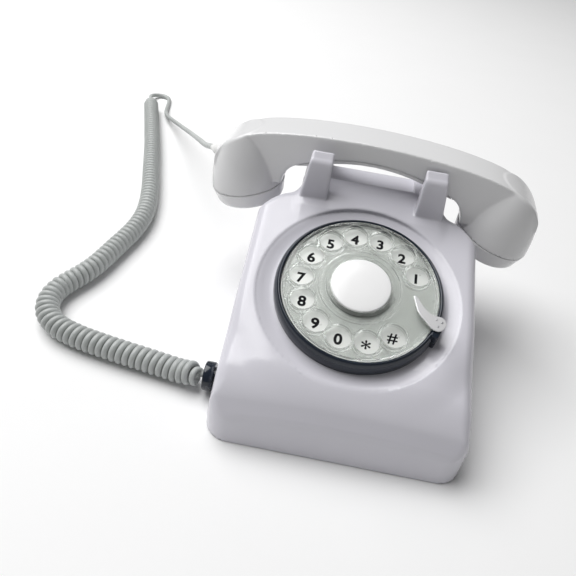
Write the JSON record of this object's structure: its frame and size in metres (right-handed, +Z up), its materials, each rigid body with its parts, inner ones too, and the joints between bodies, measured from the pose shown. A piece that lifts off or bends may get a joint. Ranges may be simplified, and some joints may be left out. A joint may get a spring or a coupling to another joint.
{
  "type": "rotary desk telephone",
  "caption": "Desk telephone with a rotary dial, a pronged cradle, a handset, a coiled cord and a mechanical bell.",
  "frame": {"origin": "bottom centre of the telephone without its cord, on the table", "axes": "+Z up, -Y the side the dial faces, +X the right side seen from the front"},
  "size_m": [0.4029, 0.4602, 0.1334],
  "materials": {
    "shell": "gloss",
    "handset_plastic": "gloss",
    "black_plastic": "gloss",
    "rubber": "matte",
    "screw_steel": "satin",
    "plate_print": "satin",
    "stop_white": "gloss",
    "jack_plastic": "satin",
    "zinc_steel": "satin",
    "shaft_steel": "gloss",
    "brass": "satin",
    "brown_board": "matte",
    "clear_plastic": "gloss",
    "white_disc": "gloss",
    "spring_steel": "satin",
    "zinc_cast": "matte",
    "board_green": "satin",
    "sleeve_blue": "satin",
    "copper": "gloss",
    "bell_metal": "gloss",
    "cord_pvc": "satin"
  },
  "bodies": {
    "base": {"housing": "shell", "base_plate": "black_plastic", "rubber_feet": "rubber", "base_screws": "screw_steel", "dial_bezel": "black_plastic", "number_plate": "plate_print", "finger_stop": "stop_white", "stop_rivets": "screw_steel", "cord_socket": "black_plastic", "line_jack": "jack_plastic", "dial_frame": "zinc_steel", "dial_screws": "screw_steel", "dial_bridge": "zinc_steel", "bridge_screws": "screw_steel", "idler_pin": "shaft_steel", "governor_cup": "brass", "contact_block": "brown_board", "contact_springs": "brass", "main_spring": "spring_steel", "hook_bracket": "zinc_steel", "hook_pin": "shaft_steel", "hook_spring": "spring_steel", "hook_switch": "black_plastic", "circuit_board": "board_green", "board_screws": "screw_steel", "transformer": "zinc_steel", "capacitors": "sleeve_blue", "line_chips": "black_plastic", "terminal_block": "board_green", "ringer_frame": "zinc_steel", "ringer_coil": "copper", "gong_left": "bell_metal", "gong_right": "bell_metal", "gong_screws": "screw_steel", "coil_cord": "cord_pvc", "cord_tail": "cord_pvc"},
    "wheel": {"finger_wheel": "clear_plastic", "centre_disc": "white_disc", "hub_screw": "screw_steel", "dial_shaft": "shaft_steel", "drive_gear": "brass", "pulse_cam": "jack_plastic"},
    "idler": {"idler_gear": "brass"},
    "governor": {"governor_rotor": "shaft_steel", "governor_weights": "zinc_cast"},
    "plungers": {"hook_plungers": "jack_plastic"},
    "lever": {"hook_lever": "zinc_steel"},
    "striker": {"clapper": "shaft_steel"},
    "handset": {"handset_shell": "handset_plastic", "handset_cover": "handset_plastic", "cover_screws": "screw_steel", "ear_cap": "handset_plastic", "mouth_cap": "handset_plastic", "receiver_capsule": "black_plastic", "microphone_capsule": "black_plastic", "ballast_weights": "zinc_cast", "cord_boot": "cord_pvc"}
  },
  "joints": [
    {"name": "dial_spin", "type": "hinge", "parent": "base", "child": "wheel", "pos_m": [0, -0.027, 0.077], "axis": [0, -0.3256, 0.9455], "range_deg": [-320, 0], "stiffness_Nm_per_rad": 0.004, "springref_deg": 34.38},
    {"name": "idler_spin", "type": "hinge", "parent": "base", "child": "idler", "pos_m": [-0.02598, -0.03337, 0.04942], "axis": [0, -0.3256, 0.9455], "continuous": true},
    {"name": "governor_spin", "type": "hinge", "parent": "base", "child": "governor", "pos_m": [-0.03598, -0.01504, 0.04939], "axis": [0, -0.3256, 0.9455], "continuous": true},
    {"name": "handset_lift", "type": "slide", "parent": "base", "child": "handset", "axis": [0, 0, 1], "range_m": [0, 0.07]},
    {"name": "plunger_slide", "type": "slide", "parent": "base", "child": "plungers", "axis": [0, 0, 1], "range_m": [0, 0.0036]},
    {"name": "hook_lever_pivot", "type": "hinge", "parent": "base", "child": "lever", "pos_m": [0, 0.042, 0.066], "axis": [1, 0, 0], "range_deg": [0, 7.3]},
    {"name": "clapper_swing", "type": "hinge", "parent": "base", "child": "striker", "pos_m": [0, -0.05, 0.0145], "axis": [0, 0, 1], "range_deg": [-3.5, 3.5]}
  ],
  "couplings": [
    {"joint": "idler_spin", "follows": "dial_spin", "ratio": -4},
    {"joint": "governor_spin", "follows": "dial_spin", "ratio": 16},
    {"joint": "plunger_slide", "follows": "handset_lift", "ratio": 0.05},
    {"joint": "hook_lever_pivot", "follows": "handset_lift", "rad_per_m": 1.795}
  ]
}
